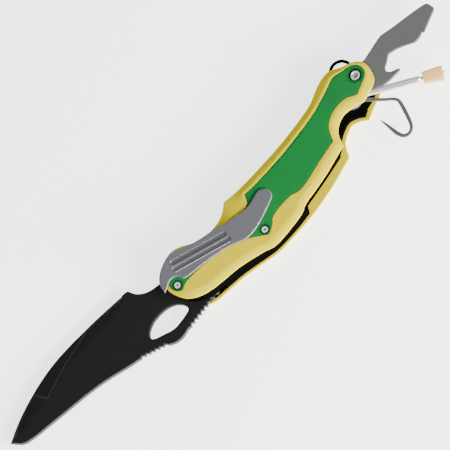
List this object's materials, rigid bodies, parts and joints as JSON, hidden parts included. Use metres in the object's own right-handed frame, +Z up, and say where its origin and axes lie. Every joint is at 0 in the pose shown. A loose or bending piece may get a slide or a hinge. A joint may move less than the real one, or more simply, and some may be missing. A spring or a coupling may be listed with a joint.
{
  "type": "folding rigging knife",
  "caption": "Folding sailor's knife with a holed main blade, opener plate, marlinspike with a cork guard, sail hook, lock bar, pocket clip and lanyard ring.",
  "frame": {"origin": "on the rear inlay's flat outer face, on which the knife rests, near the middle of the handle", "axes": "+X along the handle towards the tool end, +Y towards the side that the main blade folds in through, +Z up through the layers to the pocket clip"},
  "size_m": [0.221, 0.052, 0.0186],
  "materials": {
    "yellow_scale": "satin yellow anodised and lacquered",
    "green_inlay": "matt green with fine grain",
    "dark_liner": "dark oxide",
    "black_block": "black oxide",
    "black_blade": "matt black coating",
    "satin_steel": "satin",
    "tool_steel": "satin",
    "bright_steel": "polished",
    "bronze": "plain",
    "cork": "pale cork"
  },
  "bodies": {
    "handle": {"front_scale": "yellow_scale", "front_inlay": "green_inlay", "rear_scale": "yellow_scale", "rear_inlay": "green_inlay", "front_liner": "dark_liner", "centre_liner": "dark_liner", "rear_liner": "dark_liner", "spacer_block": "black_block", "blade_pivot_bolt": "bright_steel", "blade_pivot_nut": "bright_steel", "blade_washer_front": "bronze", "blade_washer_rear": "bronze", "lock_bar_pin": "bright_steel", "tool_axle_bolt": "bright_steel", "tool_axle_nut": "bright_steel", "tool_axle_sleeve": "bronze", "blade_well_sleeve": "bronze", "tool_stud": "bright_steel", "hook_spring": "dark_liner", "spike_spring": "dark_liner", "spring_pin": "bright_steel", "pocket_clip": "satin_steel", "clip_rivet_1": "bright_steel", "clip_rivet_2": "bright_steel", "front_screw_lower": "bright_steel", "front_screw_mid": "bright_steel", "rear_screw_lower": "bright_steel", "rear_screw_mid": "bright_steel", "lanyard_pin": "bright_steel"},
    "blade": {"main_blade": "black_blade"},
    "lock": {"lock_bar": "black_block"},
    "opener": {"bottle_opener": "tool_steel"},
    "spike": {"marlinspike": "tool_steel"},
    "cork": {"spike_cork": "cork"},
    "hook": {"sail_hook": "tool_steel"},
    "ring": {"lanyard_ring": "black_blade"}
  },
  "joints": [
    {"name": "blade_fold", "type": "hinge", "parent": "handle", "child": "blade", "pos_m": [-0.0425, 0.0039, 0.005], "axis": [0, 0, 1], "range_deg": [-166, 0]},
    {"name": "lock_rock", "type": "hinge", "parent": "handle", "child": "lock", "pos_m": [-0.006, -0.011, 0.005], "axis": [0, 0, 1], "range_deg": [0, 2], "stiffness_Nm_per_rad": 0.5, "springref_deg": -2.86},
    {"name": "opener_fold", "type": "hinge", "parent": "handle", "child": "opener", "pos_m": [0.0524, 0.0022, 0.013], "axis": [0, 0, 1], "range_deg": [-163, 0]},
    {"name": "spike_fold", "type": "hinge", "parent": "handle", "child": "spike", "pos_m": [0.0455, 0.0004, 0.0105], "axis": [0, 0, 1], "range_deg": [-142, 20]},
    {"name": "cork_slide", "type": "slide", "parent": "spike", "child": "cork", "axis": [0.7859, -0.6184, 0], "range_m": [0, 0.01]},
    {"name": "hook_fold", "type": "hinge", "parent": "handle", "child": "hook", "pos_m": [0.0455, 0.0004, 0.0082], "axis": [0, 0, 1], "range_deg": [-98, 38]},
    {"name": "ring_swing", "type": "hinge", "parent": "handle", "child": "ring", "pos_m": [0.0492, 0.0074, 0.0105], "axis": [0, 0, 1], "range_deg": [-5, 30]}
  ]
}
